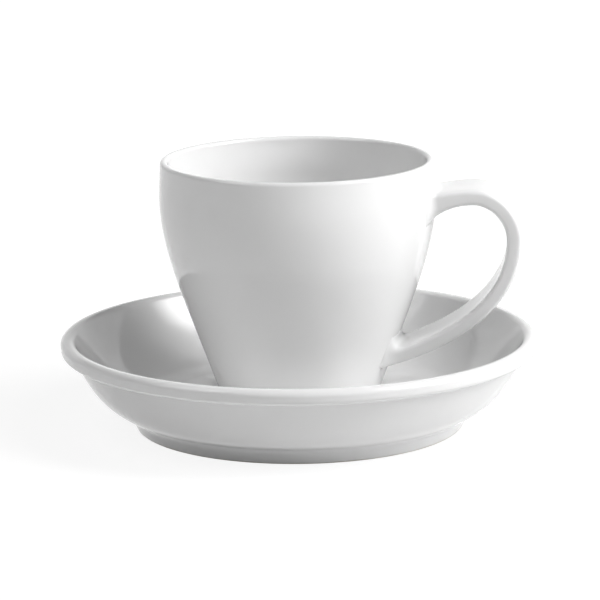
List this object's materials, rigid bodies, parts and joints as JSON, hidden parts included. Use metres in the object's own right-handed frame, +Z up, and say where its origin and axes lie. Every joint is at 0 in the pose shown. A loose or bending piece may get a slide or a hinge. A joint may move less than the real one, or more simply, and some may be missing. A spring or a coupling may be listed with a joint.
{
  "type": "espresso cup with saucer",
  "caption": "Thick-walled white porcelain espresso cup with a broad strap handle, standing in the well of its deep, roll-rimmed saucer.",
  "frame": {"origin": "on the shared axis of cup and saucer, at the table under the saucer's foot ring", "axes": "+Z up along the axis of cup and saucer, +X towards the handle, +Y to the left of someone who looks along the handle"},
  "size_m": [0.1158, 0.1158, 0.0649],
  "materials": {
    "saucer_porcelain": "gloss",
    "cup_porcelain": "gloss",
    "handle_porcelain": "gloss"
  },
  "bodies": {
    "saucer": {"saucer": "saucer_porcelain"},
    "cup": {"cup_body": "cup_porcelain", "cup_handle": "handle_porcelain"}
  },
  "joints": [
    {"name": "cup_lift", "type": "slide", "parent": "saucer", "child": "cup", "axis": [0, 0, 1], "range_m": [0, 0.08]}
  ]
}
